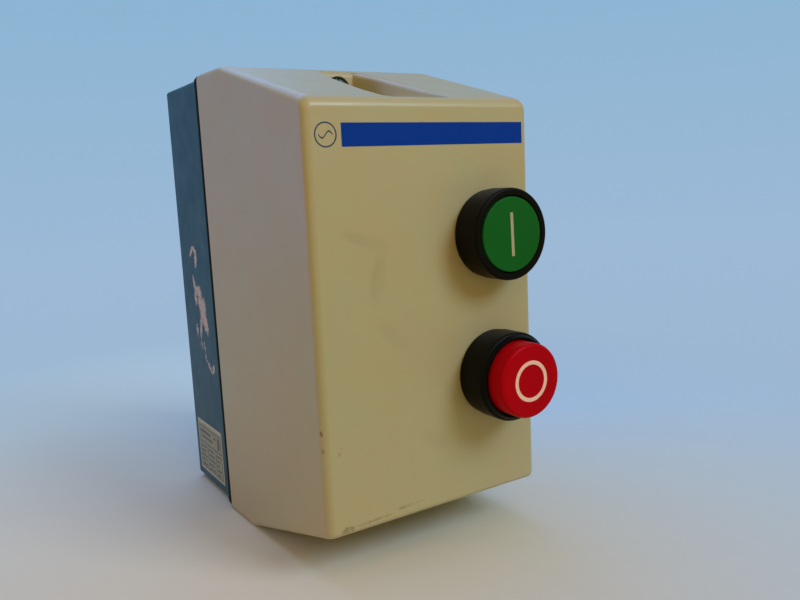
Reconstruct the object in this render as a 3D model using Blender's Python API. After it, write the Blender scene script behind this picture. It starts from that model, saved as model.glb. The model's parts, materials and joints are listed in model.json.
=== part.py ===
"""Enclosed magnetic motor starter: a plastic box for a wall, with a start and a stop button.

Inside are a three-pole contactor on a rail, an overload relay hung under it, and a start
contact block on its front. The origin is the centre of the face against the wall, +X is to
the right seen from the front, -Y is forwards and +Z is up. Lengths in this script are in
millimetres, and MM turns them into metres where a mesh or an object is made.
"""

import math

import bmesh
import bpy
from mathutils import Matrix, Vector

MM = 0.001
GAP = 0.3  # clearance between neighbouring pieces

# Enclosure: y of each plane, then half sizes
FRONT_Y = -130
RIDGE_Y = -68
RIM_Y = -46.6
FLANGE_Y = -44.2
FRONT_HALF = (44, 69)
RIM_HALF = (45.5, 86)
WALL_HALF = (42.5, 84.6)
FLANGE_HALF = (45.2, 85.7)
FLANGE_SKIN = 1.8
GASKET_INSET = 0.4
TONGUE_HALF = (42.4, 82.9)
TONGUE_LENGTH = 5.8
TONGUE_SKIN = 1.8
COVER_SKIN = 2.4
BASE_SKIN = 2.5
BACK_SKIN = 3
FRONT_FILLET = 3
LOWER_FILLET = 1.5
REAR_CORNER = 2.6
LOWER_CORNER = 2

# Screw pockets in the cover's two slopes
POCKET_FLOOR = 69.5
POCKET_WALL = 2
POCKET_END = 56  # depth behind the front panel
SCREW_Z = 77.8
SCREW_SEAT_Y = -71
BOSS_END_Y = -56

# Push buttons: places on the panel and travels
START_AT = (25, 23.7)
STOP_AT = (25, -25.3)
PANEL_HOLE = 11.4
START_TRAVEL = 4
STOP_TRAVEL = 4.5

# Rail, contactor, overload relay and start contact block
RAIL_SCREWS = (3, 28)
RAIL_Y = -BACK_SKIN - GAP
UNIT_X = (-7, 38)
POLES = (3, 15.5, 28)
CONTACTOR_Z = (-19, 58)
MIDDLE_X = 15.5
MIDDLE_Z = 19.5
CONTACTOR_SPLIT_Y = -50
CONTACTOR_FRONT_Y = -94
RELAY_Z = (-66.5, -20.5)
RELAY_Y = (-32, -86)
BUTTON_X = 25
RELAY_STOP_Z = -26.5
RELAY_RESET_Z = -38
DIAL_AT = (5, -36)
CORE_LEGS = ((-19, -12), (-5, 5), (12, 19))


# ---------------------------------------------------------------- materials

def material(name, colour, roughness, metallic=0.0):
    made = bpy.data.materials.new(name)
    made.use_nodes = True
    shader = made.node_tree.nodes["Principled BSDF"]
    shader.inputs["Base Color"].default_value = (*colour, 1)
    shader.inputs["Roughness"].default_value = roughness
    shader.inputs["Metallic"].default_value = metallic
    return made


# ---------------------------------------------------------------- shapes

def finish_object(mesh, name, surface, at=(0, 0, 0), smooth=True):
    """The object of a bmesh, which is freed, with round stretches shaded smooth."""
    bmesh.ops.recalc_face_normals(mesh, faces=mesh.faces)
    data = bpy.data.meshes.new(name)
    mesh.to_mesh(data)
    mesh.free()
    if smooth:
        data.shade_smooth()
        data.set_sharp_from_angle(angle=math.radians(32))
    made = bpy.data.objects.new(name, data)
    made.location = Vector(at) * MM
    bpy.context.scene.collection.objects.link(made)
    if surface:
        data.materials.append(surface)
    return made


def loft(name, rings, surface, at=(0, 0, 0), closed=False, smooth=True):
    """A solid through rings of equally many points, capped unless its last ring meets the first."""
    mesh = bmesh.new()
    loops = [[mesh.verts.new(Vector(point) * MM) for point in ring] for ring in rings]
    for first, second in zip(loops, loops[1:] + (loops[:1] if closed else [])):
        for i in range(len(first)):
            j = (i + 1) % len(first)
            mesh.faces.new((first[i], first[j], second[j], second[i]))
    if not closed:
        mesh.faces.new(loops[0])
        mesh.faces.new(loops[-1])
    return finish_object(mesh, name, surface, at, smooth)


def rounded_ring(y, half_width, half_height, radius, low_radius=None, lift=0, steps=4):
    """A rounded rectangle in the plane y, centred at z = lift, as points."""
    points = []
    low_radius = radius if low_radius is None else low_radius
    for turn, (sx, sz) in enumerate(((1, 1), (-1, 1), (-1, -1), (1, -1))):
        bend = radius if sz > 0 else low_radius
        for step in range(steps + 1):
            angle = math.radians(90 * (turn + step / steps))
            x = sx * (half_width - bend) + bend * math.cos(angle)
            z = lift + sz * (half_height - bend) + bend * math.sin(angle)
            points.append((x, y, z))
    return points


def circle(y, radius, steps):
    angles = [math.tau * i / steps for i in range(steps)]
    return [(radius * math.cos(a), y, radius * math.sin(a)) for a in angles]


def turned(name, profile, surface, at=(0, 0), steps=16, hollow=False):
    """A piece turned about the Y line through at=(x, z). Its profile is (radius, y) points."""
    rings = [circle(y, radius, steps) for radius, y in profile]
    return loft(name, rings, surface, (at[0], 0, at[1]), hollow)


def prism(name, outline, axis, start, end, surface):
    """An outline in the other two axes, in x, y, z order, extruded along axis."""
    def ring(level):
        return [(*point[:axis], level, *point[axis:]) for point in outline]
    return loft(name, (ring(start), ring(end)), surface, smooth=False)


def box(name, low, high, surface=None):
    outline = ((low[0], low[1]), (high[0], low[1]), (high[0], high[1]), (low[0], high[1]))
    return prism(name, outline, 2, low[2], high[2], surface)


def boolean(target, operation, *others):
    """Adds a Boolean for each of the others, which become hidden helpers."""
    for other in others:
        step = target.modifiers.new(other.name, "BOOLEAN")
        step.operation = operation
        step.solver = "EXACT"
        step.object = other
        other.hide_render = True
        other.display_type = "WIRE"
    return target


def cut(target, *cutters):
    return boolean(target, "DIFFERENCE", *cutters)


def bore(name, at, radius, start, end, steps=12):
    """A cutter for a round hole along Y."""
    return turned(name, ((radius, start), (radius, end)), None, at, steps)


def spring(name, at, radius, wire, start, end, turns, surface, steps=10):
    """A coil along Y, as a round wire swept along a helix."""
    curve = bpy.data.curves.new(name, "CURVE")
    curve.dimensions = "3D"
    curve.bevel_depth = wire * MM
    curve.bevel_resolution = 1
    curve.use_fill_caps = True
    line = curve.splines.new("POLY")
    count = round(turns * steps)
    line.points.add(count)
    for i in range(count + 1):
        angle = math.tau * i / steps
        y = start + (end - start) * i / count
        place = (radius * math.cos(angle) * MM, y * MM, radius * math.sin(angle) * MM, 1)
        line.points[i].co = place
    curve.materials.append(surface)
    made = bpy.data.objects.new(name, curve)
    made.location = Vector((at[0], 0, at[1])) * MM
    bpy.context.scene.collection.objects.link(made)
    return made


def screw(name, at, head_radius, head, shank_radius, tip, surface, steps=12):
    """A pan-head screw pointing at the wall, with a slot. head is (front y, under y)."""
    front, under = head
    profile = (
        (head_radius * 0.8, front), (head_radius, front + 0.5), (head_radius, under),
        (shank_radius, under), (shank_radius, tip - 0.8), (shank_radius * 0.6, tip),
    )
    made = turned(name, profile, surface, at, steps)
    x, z = at
    low = (x - 0.5, front - 1, z - head_radius)
    high = (x + 0.5, front + 0.9, z + head_radius)
    return cut(made, box(name + "_slot", low, high))


def joint_group(name, at, members, parent=None):
    """An empty on a joint's axis, holding the pieces that move together."""
    group = bpy.data.objects.new(name, None)
    group.empty_display_size = 5 * MM
    group.location = Vector(at) * MM
    bpy.context.scene.collection.objects.link(group)
    for member in members:
        member.parent = group
        member.matrix_parent_inverse = Matrix.Translation(-group.location)
    if parent:
        group.parent = parent
        group.matrix_parent_inverse = Matrix.Translation(-parent.location)
    return group


# ---------------------------------------------------------------- enclosure

def cover_half(y):
    """Half width and half height of the cover's outside at y."""
    along = (y - FRONT_Y) / (RIM_Y - FRONT_Y)
    up = min(1, (y - FRONT_Y) / (RIDGE_Y - FRONT_Y))
    return (
        FRONT_HALF[0] + (RIM_HALF[0] - FRONT_HALF[0]) * along,
        FRONT_HALF[1] + (RIM_HALF[1] - FRONT_HALF[1]) * up,
    )


def cover_ring(y, inset, radius):
    half_width, half_height = cover_half(y)
    return rounded_ring(y, half_width - inset, half_height - inset, radius)


def fillet_inset(depth, radius):
    """How far a rounded edge lies inside the corner, at a depth behind the front."""
    rest = max(0, radius - depth)
    return radius - math.sqrt(radius ** 2 - rest ** 2)


def fillet_ring(depth):
    """The cover's outline within its rounded front edge, which is tighter along the bottom."""
    half_width, half_height = cover_half(FRONT_Y + depth)
    side = fillet_inset(depth, FRONT_FILLET)
    low = fillet_inset(depth, LOWER_FILLET)
    height = half_height - (side + low) / 2
    corner = FRONT_FILLET + 0.8 - side
    low_corner = LOWER_CORNER - low * 0.8
    return rounded_ring(
        FRONT_Y + depth, half_width - side, height, corner, low_corner, (low - side) / 2
    )


def pocket_outline(grow, first, last):
    """Plan of a screw pocket as (x, y), narrowing to the wall that the screw sits in."""
    right = (
        (9, first), (12, first + 1.2), (13, first + 4), (12.4, 19), (10.4, 39), (9, 47),
        (6.4, last),
    )
    right = [(x + grow, FRONT_Y + depth) for x, depth in right]
    return right + [(-x, y) for x, y in reversed(right)]


def pocket_shell(name, side):
    """Walls of a pocket, which end half way through the cover's sloping skin."""
    outline = pocket_outline(POCKET_WALL, 1.2, 62)
    floor = POCKET_FLOOR - POCKET_WALL
    lower = [(x, y, side * floor) for x, y in outline]
    upper = [(x, y, side * (cover_half(y)[1] - COVER_SKIN / 2)) for x, y in outline]
    return loft(name, (lower, upper), None)


def make_cover(plastic):
    turns = [math.radians(30 * step) for step in range(4)]
    rings = [fillet_ring(FRONT_FILLET * (1 - math.cos(turn))) for turn in turns]
    for y in (RIDGE_Y, RIM_Y):
        rings.append(rounded_ring(y, *cover_half(y), REAR_CORNER, LOWER_CORNER))
    rings += [cover_ring(y, COVER_SKIN, 1) for y in (RIM_Y, RIDGE_Y, FRONT_Y + COVER_SKIN)]
    cover = loft("cover", rings, plastic)
    for side, end in ((1, "top"), (-1, "bottom")):
        boolean(cover, "UNION", pocket_shell(f"pocket_walls_{end}", side))
    for side, end in ((1, "top"), (-1, "bottom")):
        plan = pocket_outline(0, 2, POCKET_END)
        levels = sorted((side * POCKET_FLOOR, side * 90))
        at = (0, side * SCREW_Z)
        cut(
            cover,
            prism(f"pocket_{end}", plan, 2, *levels, None),
            bore(f"counterbore_{end}", at, 5.2, FRONT_Y + POCKET_END - 1, SCREW_SEAT_Y, 20),
            bore(f"screw_hole_{end}", at, 2.5, SCREW_SEAT_Y - 1, RIDGE_Y),
        )
    for at, name in ((START_AT, "start"), (STOP_AT, "stop")):
        cut(cover, bore(f"{name}_hole", at, PANEL_HOLE, FRONT_Y - 1, FRONT_Y + 5, 20))
    return cover


def make_base(plastic):
    """The rear shell, with a flange for the gasket and a tongue inside the cover."""
    wall_x, wall_z = WALL_HALF
    tongue_x, tongue_z = TONGUE_HALF
    tongue_y = FLANGE_Y - TONGUE_LENGTH
    rings = (
        rounded_ring(0, wall_x - 0.5, wall_z - 0.5, 0.9),
        rounded_ring(-0.5, wall_x, wall_z, 1.4),
        rounded_ring(FLANGE_Y + FLANGE_SKIN, wall_x + 1, wall_z + 0.4, 2),
        rounded_ring(FLANGE_Y + FLANGE_SKIN, *FLANGE_HALF, REAR_CORNER),
        rounded_ring(FLANGE_Y, *FLANGE_HALF, REAR_CORNER),
        rounded_ring(FLANGE_Y, tongue_x, tongue_z, 1.6),
        rounded_ring(tongue_y, tongue_x, tongue_z, 1.6),
        rounded_ring(tongue_y, tongue_x - TONGUE_SKIN, tongue_z - TONGUE_SKIN, 1),
        rounded_ring(-BACK_SKIN, wall_x - BASE_SKIN, wall_z - BASE_SKIN, 1),
    )
    base = loft("base_housing", rings, plastic)
    for side, end in ((1, "top"), (-1, "bottom")):
        at = (0, side * SCREW_Z)
        pillar = turned(f"screw_pillar_{end}", ((5, -BACK_SKIN + 1), (5, BOSS_END_Y)), None, at)
        boolean(base, "UNION", pillar)
        cut(base, bore(f"pillar_hole_{end}", at, 2.5, BOSS_END_Y - 1, -20))
    for x in (-32, 32):
        for z in (-73, 73):
            cut(base, bore(f"wall_hole_{x}_{z}", (x, z), 2.6, -BACK_SKIN - 1, 1))
    for x in (-20, 20):
        for side in (-1, 1):
            disc = loft(
                f"knockout_{x}_{side}",
                [[(p[0], p[2], level) for p in circle(0, 10.5, 16)] for level in (0, 3)],
                None,
                (x, -22, side * (wall_z + 0.9) - 1.5),
            )
            cut(base, disc)
    for x in RAIL_SCREWS:
        cut(base, bore(f"rail_screw_hole_{x}", (x, MIDDLE_Z), 2, -BACK_SKIN - 1, -0.8))
    return base


def make_gasket(rubber):
    outer = (FLANGE_HALF[0] - GASKET_INSET, FLANGE_HALF[1] - GASKET_INSET)
    inner = (TONGUE_HALF[0] + 0.4, TONGUE_HALF[1] + 0.4)
    near, far = FLANGE_Y - GAP, RIM_Y + GAP
    rings = (
        rounded_ring(near, *outer, 2),
        rounded_ring(far, *outer, 2),
        rounded_ring(far, *inner, 1.6),
        rounded_ring(near, *inner, 1.6),
    )
    return loft("seal_gasket", rings, rubber, closed=True)


# ---------------------------------------------------------------- rail and earth terminal

def make_rail(steel):
    """A 35 mm top-hat rail with its two screws."""
    edge, web, skin = 17.5, 12.5, 1
    front, back = RAIL_Y - 7.5, RAIL_Y
    half = (
        (front, edge), (front + skin, edge), (front + skin, web + skin), (back, web + skin),
    )
    inner = ((back - skin, web), (front, web))
    top = [(y, MIDDLE_Z + z) for y, z in half]
    bottom = [(y, MIDDLE_Z - z) for y, z in reversed(half)]
    under = [(y, MIDDLE_Z - z) for y, z in reversed(inner)]
    over = [(y, MIDDLE_Z + z) for y, z in inner]
    outline = top + bottom + under + over
    rail = prism("mounting_rail", outline, 0, UNIT_X[0] - 4, UNIT_X[1] + 2, steel)
    pieces = [rail]
    for x, side in zip(RAIL_SCREWS, ("left", "right")):
        cut(rail, bore(f"rail_hole_{side}", (x, MIDDLE_Z), 2.2, back - 2, back + 1))
        head = (back - skin - GAP - 2, back - skin - GAP)
        pieces.append(screw(f"rail_screw_{side}", (x, MIDDLE_Z), 3.2, head, 1.6, -1.2, steel))
    return pieces


def make_earth_terminal(brass, steel):
    x, z = -28, -62
    block = box("earth_terminal", (x - 6, -12, z - 4), (x + 6, -BACK_SKIN - GAP, z + 4), brass)
    cut(block, bore("earth_screw_hole", (x, z), 2.3, -13, -6))
    clamp = screw("earth_screw", (x, z), 3.4, (-14.8, -12 - GAP), 1.9, -7, steel)
    return [block, clamp]


# ---------------------------------------------------------------- push buttons

def make_button(name, at, bezel, cap_front, cap_radius, travel, stem_end, skins):
    """Bezel, cap, plunger, return spring and nut of one panel button.

    bezel is its radius, the y of its front edge and how far its inner lip stands ahead of that.
    """
    bezel_radius, front, lip = bezel
    black, colour, steel = skins
    bore_radius = cap_radius + 0.35
    shelf = FRONT_Y - 1.6
    cap_back = shelf - GAP - travel
    flange = (cap_back + GAP, cap_back + GAP + 1.6)
    bezel = turned(
        f"{name}_bezel",
        (
            (bore_radius, front - lip), (bore_radius + 0.9, front - lip),
            (bezel_radius - 0.8, front), (bezel_radius, front + 0.9),
            (bezel_radius, FRONT_Y - GAP), (11, FRONT_Y - GAP), (11, -117), (6.8, -117),
            (6.8, -118.5), (9.2, -118.5), (9.2, shelf), (bore_radius, shelf),
        ),
        black, at, 20, hollow=True,
    )
    cap = turned(
        f"{name}_cap",
        ((cap_radius - 1, cap_front), (cap_radius, cap_front + 0.7), (cap_radius, cap_back)),
        colour, at, 24,
    )
    plunger = turned(
        f"{name}_plunger",
        ((8.7, flange[0]), (8.7, flange[1]), (6.2, flange[1]), (6.2, stem_end)),
        black, at, 16,
    )
    coil = spring(f"{name}_spring", at, 7.75, 0.5, flange[1] + 0.9, -119.3, 4, steel)
    nut_hole = bore(f"{name}_nut_hole", at, 11.6, -130, -120, 16)
    nut_y = FRONT_Y + COVER_SKIN + GAP
    nut = cut(turned(f"{name}_nut", ((14.8, nut_y), (14.8, nut_y + 4)), black, at, 6), nut_hole)
    return bezel, cap, plunger, coil, nut


# ---------------------------------------------------------------- contactor

def make_contactor_housings(plastic, grey):
    """Rear half round the magnet, and front half round the contacts."""
    left, right = UNIT_X
    low, high = CONTACTOR_Z
    rear = box("contactor_rear_housing", (left, CONTACTOR_SPLIT_Y, low), (right, -9.5, high), grey)
    skin = 2.2
    cut(
        rear,
        box("magnet_room", (left + skin, -52, low + skin), (right - skin, -14, high - skin)),
        box("rail_channel", (left - 1, -11.3, MIDDLE_Z - 18), (right + 1, -9, MIDDLE_Z + 18)),
    )
    tier = CONTACTOR_FRONT_Y + 14
    back = CONTACTOR_SPLIT_Y - GAP
    profile = (
        (back, low), (tier, low), (tier, -5), (CONTACTOR_FRONT_Y, -5),
        (CONTACTOR_FRONT_Y, 44), (tier, 44), (tier, high), (back, high),
    )
    front = prism("contactor_front_housing", profile, 0, left, right, plastic)
    cut(
        front,
        box("carrier_well", (-3.5, -80.8, 11.5), (34.5, -49, 27.5)),
        box("tab_slot", (-0.5, -96, 15.5), (8.5, -79, 23.5)),
        box("armature_room", (7.5, -53.6, -1), (23.5, -49, 40)),
    )
    for n, x in enumerate(POLES, 1):
        cut(front, box(f"contact_chamber_{n}", (x - 4, -73, -4), (x + 4, -57.5, 43)))
        for z, outer, inner, end in ((51, 60, 45, "line"), (-12, -21, -6, "load")):
            low_z, high_z = sorted((outer, inner))
            wall_z = inner + (1 if end == "load" else -1)
            cut(
                front,
                box(f"{end}_slot_{n}", (x - 4.5, -96, low_z), (x + 4.5, -58, high_z)),
                box(
                    f"{end}_strip_way_{n}",
                    (x - 4, -60.2, wall_z - 1.5),
                    (x + 4, -58.1, wall_z + 1.5),
                ),
                bore(f"{end}_screw_hole_{n}", (x, z), 2.2, -58.5, -52.4),
            )
    return [rear, front]


def make_magnet(steel, nylon, copper):
    """E-shaped core, bobbin and winding, which stay still."""
    x0, x1 = MIDDLE_X - 7, MIDDLE_X + 7
    core = prism("fixed_core", e_outline(-14.5, -21, -37), 0, x0, x1, steel)

    def frame(name, inner, outer, y, surface):
        made = box(name, (MIDDLE_X - outer[0], y[0], MIDDLE_Z - outer[1]),
                   (MIDDLE_X + outer[0], y[1], MIDDLE_Z + outer[1]), surface)
        hole = box(name + "_hole", (MIDDLE_X - inner[0], y[0] - 1, MIDDLE_Z - inner[1]),
                   (MIDDLE_X + inner[0], y[1] + 1, MIDDLE_Z + inner[1]))
        return made, hole

    outer = (13.5, 11.3)
    bobbin, hole = frame("coil_bobbin", (7.5, 5.5), outer, (-36.5, -21.4), nylon)
    groove, keep = frame("bobbin_groove", (9, 7), (15, 13), (-35, -23), None)
    cut(bobbin, cut(groove, keep), hole)
    winding, core_hole = frame("coil_winding", (9.3, 7.3), (12.5, 10.8), (-34.7, -23.3), copper)
    cut(winding, core_hole)
    return [core, bobbin, winding]


def e_outline(spine_back, spine_front, leg_end):
    """An E in (y, z): a spine along Z and the three legs reaching to leg_end."""
    points = [(spine_back, MIDDLE_Z + CORE_LEGS[0][0])]
    for n, (low, high) in enumerate(CORE_LEGS):
        if n:
            points.append((spine_front, MIDDLE_Z + low))
        points += [(leg_end, MIDDLE_Z + low), (leg_end, MIDDLE_Z + high)]
        if n < len(CORE_LEGS) - 1:
            points.append((spine_front, MIDDLE_Z + high))
    return points + [(spine_back, MIDDLE_Z + CORE_LEGS[-1][1])]


def make_carriage(steel, nylon, copper):
    """Armature, contact carrier and three contact bridges, which the magnet pulls to the wall."""
    x0, x1 = MIDDLE_X - 7, MIDDLE_X + 7
    armature = prism("armature", e_outline(-52, -46, -42.5), 0, x0, x1, steel)
    carrier = box("contact_carrier", (-3, -80, 12), (34, -52.4, 27), nylon)
    boolean(carrier, "UNION", box("carrier_tab", (0, -94.6, 16), (8, -79, 23)))
    bridges = []
    for n, x in enumerate(POLES, 1):
        cut(carrier, box(f"bridge_window_{n}", (x - 3.6, -72, 10), (x + 3.6, -64.4, 29)))
        ends = (0.5, 6.5, 32.5, 38.5)
        outline = (
            (-68, ends[0]), (-68, ends[3]), (-65.5, ends[3]), (-65.5, ends[2]),
            (-66.5, ends[2]), (-66.5, ends[1]), (-65.5, ends[1]), (-65.5, ends[0]),
        )
        bridges.append(prism(f"contact_bridge_{n}", outline, 0, x - 3, x + 3, copper))
    return [armature, carrier, *bridges]


def fork(name, x, half, tip, notch, root, y, surface):
    """A flat strip in the plane of x and z, forked at its tip so that a screw can pass."""
    outline = (
        (x - half, root), (x + half, root), (x + half, tip), (x + 2.3, tip),
        (x + 2.3, notch), (x - 2.3, notch), (x - 2.3, tip), (x - half, tip),
    )
    return prism(name, outline, 1, y[0], y[1], surface)


def make_power_terminals(copper, steel):
    """Line and load strips with their screws, and the relay's prongs under the load screws."""
    pieces = []
    for n, x in enumerate(POLES, 1):
        strip_y = (-59.8, -58.5)
        pieces += [
            fork(f"line_terminal_{n}", x, 3.5, 55, 48.5, 33, strip_y, copper),
            fork(f"load_terminal_{n}", x, 3.5, -16, -9.5, 6, strip_y, copper),
            fork(f"relay_prong_{n}", x, 3.2, -7.5, -14.5, -26, (-61.8, -60.1), copper),
            screw(f"line_screw_{n}", (x, 51), 3.4, (-63, -60.1), 1.8, -53.2, steel),
            screw(f"load_screw_{n}", (x, -12), 3.4, (-65, -62.1), 1.8, -53.2, steel),
        ]
    return pieces


# ---------------------------------------------------------------- overload relay

def make_relay(plastic, steel, bimetal):
    """Housing, motor-side screws and bimetal strips."""
    left, right = UNIT_X
    low, high = RELAY_Z
    back, front = RELAY_Y
    tier = front + 16
    profile = (
        (back, low), (tier, low), (tier, -54), (front, -54), (front, high), (back, high),
    )
    housing = prism("relay_housing", profile, 0, left, right, plastic)
    cut(housing, box("bimetal_room", (left + 3, -56, low + 3), (right - 3, back + 1, high - 3)))
    for z, end in ((RELAY_STOP_Z, "stop"), (RELAY_RESET_Z, "reset")):
        cut(housing, bore(f"relay_{end}_bore", (BUTTON_X, z), 3.8, front - 1, front + 14, 16))
    cut(housing, bore("dial_seat", DIAL_AT, 6.1, front - 1, front + 3, 20))
    pieces = [housing]
    for n, x in enumerate(POLES, 1):
        cut(
            housing,
            box(f"prong_way_{n}", (x - 3.6, -62.1, -27), (x + 3.6, -59.8, high + 1)),
            box(f"motor_slot_{n}", (x - 4.5, tier - 1, low - 1), (x + 4.5, -60, -57)),
            bore(f"motor_screw_hole_{n}", (x, -61.5), 2.2, -60.5, -57),
        )
        clamp = screw(f"motor_screw_{n}", (x, -61.5), 3.4, (-63.2, -60.3), 1.8, -57.4, steel)
        pieces.append(clamp)
        low_corner, high_corner = (x - 0.5, -46, -57), (x + 0.5, -38, high - 3 - GAP)
        pieces.append(box(f"bimetal_strip_{n}", low_corner, high_corner, bimetal))
    return pieces


def make_relay_controls(red, blue, white, nylon):
    """Stop and reset buttons, current dial and trip bar."""
    front = RELAY_Y[1]
    profile = ((2.8, front - 5), (3.3, front - 4.5), (3.3, front + 9))
    stop = turned("relay_stop_button", profile, red, (BUTTON_X, RELAY_STOP_Z), 16)
    reset = turned("relay_reset_button", profile, blue, (BUTTON_X, RELAY_RESET_Z), 16)
    dial_profile = ((5, front - 0.8), (5.6, front - 0.3), (5.6, front + 2.6))
    dial = turned("current_dial", dial_profile, white, DIAL_AT, 20)
    x, z = DIAL_AT
    cut(dial, box("dial_slot", (x - 0.6, front - 2, z - 4), (x + 0.6, front + 0.4, z + 5)))
    bottom, top = RELAY_Z[0] + 3 + GAP, RELAY_Z[0] + 7
    outline = [(-3, bottom), (32, bottom), (32, top)]
    for pole in reversed(POLES):
        near, far = pole + 1.1, pole + 2.6
        outline += [(far, top), (far, top + 6), (near, top + 6), (near, top)]
    bar = prism("trip_bar", outline + [(-3, top)], 1, -47, -37, nylon)
    return stop, reset, dial, bar


# ---------------------------------------------------------------- start contact block

def make_start_block(plastic, nylon, copper):
    """Contact block on the contactor's front, which the start button presses."""
    x, z = START_AT
    back = CONTACTOR_FRONT_Y - GAP
    housing = box("start_block_housing", (x - 12, -107, z - 16), (x + 12, back, z + 16), plastic)
    cut(
        housing,
        box("block_room", (x - 9, -104, z - 13), (x + 9, -96.8, z + 13)),
        bore("block_plunger_hole", START_AT, 4.8, -108, -103, 16),
    )
    profile = ((3.6, -111.6), (4.2, -111), (4.2, -102.4))
    plunger = turned("start_block_plunger", profile, nylon, START_AT, 16)
    bridge = box("start_block_bridge", (x - 3, -102.1, z - 11), (x + 3, -101.1, z + 11), copper)
    return housing, plunger, bridge


# ---------------------------------------------------------------- assembly

def main():
    for old in list(bpy.data.objects):
        bpy.data.objects.remove(old)
    beige = material("beige plastic", (0.62, 0.55, 0.38), 0.45)
    slate = material("slate plastic", (0.05, 0.09, 0.13), 0.5)
    black = material("black plastic", (0.015, 0.015, 0.017), 0.4)
    rubber = material("rubber", (0.02, 0.02, 0.02), 0.8)
    green = material("green plastic", (0.01, 0.12, 0.03), 0.35)
    red = material("red plastic", (0.42, 0.005, 0.008), 0.3)
    blue = material("blue plastic", (0.01, 0.08, 0.4), 0.35)
    grey = material("dark grey plastic", (0.06, 0.065, 0.07), 0.5)
    white = material("white nylon", (0.75, 0.73, 0.68), 0.45)
    steel = material("zinc-plated steel", (0.6, 0.6, 0.6), 0.35, 1.0)
    core_steel = material("laminated steel", (0.35, 0.35, 0.36), 0.5, 1.0)
    brass = material("brass", (0.75, 0.55, 0.22), 0.35, 1.0)
    copper = material("copper", (0.7, 0.35, 0.2), 0.35, 1.0)
    enamel = material("enamelled copper", (0.45, 0.13, 0.05), 0.35, 0.8)

    cover = make_cover(beige)
    make_base(slate)
    make_gasket(rubber)
    make_rail(steel)
    make_earth_terminal(brass, steel)
    cover_screws = [
        screw(f"cover_screw_{end}", (0, side * SCREW_Z), 4.7,
              (SCREW_SEAT_Y - GAP - 2.6, SCREW_SEAT_Y - GAP), 2, -26, steel, 16)
        for side, end in ((1, "top"), (-1, "bottom"))
    ]
    start = make_button(
        "start", START_AT, (15.5, -142.1, 0), -142.2, 12.6, START_TRAVEL, -112,
        (black, green, steel),
    )
    stop = make_button(
        "stop", STOP_AT, (15.5, -142.2, 1.3), -149.9, 12.85, STOP_TRAVEL, -93,
        (black, red, steel),
    )
    x = BUTTON_X
    foot = box("stop_foot", (x - 5, -94.2, -44), (x + 5, -91.3, -20))
    boolean(stop[2], "UNION", foot)

    make_contactor_housings(grey, black)
    make_magnet(core_steel, white, enamel)
    carriage = make_carriage(core_steel, white, copper)
    spring("return_spring", (MIDDLE_X, MIDDLE_Z), 9.6, 0.5, -37.3, -45.3, 3, steel, 12)
    make_power_terminals(copper, steel)
    make_relay(grey, steel, brass)
    relay_stop, relay_reset, dial, trip_bar = make_relay_controls(red, blue, white, white)
    block = make_start_block(grey, white, copper)

    on_cover = [cover, start[0], start[3], start[4], stop[0], stop[3], stop[4]]
    moving_cover = joint_group("cover_group", (0, RIM_Y, 0), on_cover)
    for piece, end in zip(cover_screws, ("top", "bottom")):
        joint_group(f"cover_screw_group_{end}", piece.location / MM, [piece], moving_cover)
    for button, at, name in ((start, START_AT, "start"), (stop, STOP_AT, "stop")):
        joint_group(f"{name}_group", (at[0], FRONT_Y, at[1]), button[1:3], moving_cover)
    joint_group("carriage_group", (MIDDLE_X, -46, MIDDLE_Z), carriage)
    joint_group("start_block_group", (START_AT[0], -107, START_AT[1]), block[1:])
    for piece in (relay_stop, relay_reset, dial):
        joint_group(f"{piece.name}_group", piece.location / MM, [piece])
    joint_group("trip_bar_group", (MIDDLE_X, -42, RELAY_Z[0] + 5), [trip_bar])


main()
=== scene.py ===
"""Looks of an enclosed magnetic motor starter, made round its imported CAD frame.

The origin is the middle of the face against the wall, +X is to the right seen from the front,
-Y is forwards and +Z is up. Lengths are in millimetres, and MM turns them into metres where a
mesh or an object is made. Where a piece stands comes from the frame's boxes.
"""

import json
import math

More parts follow.
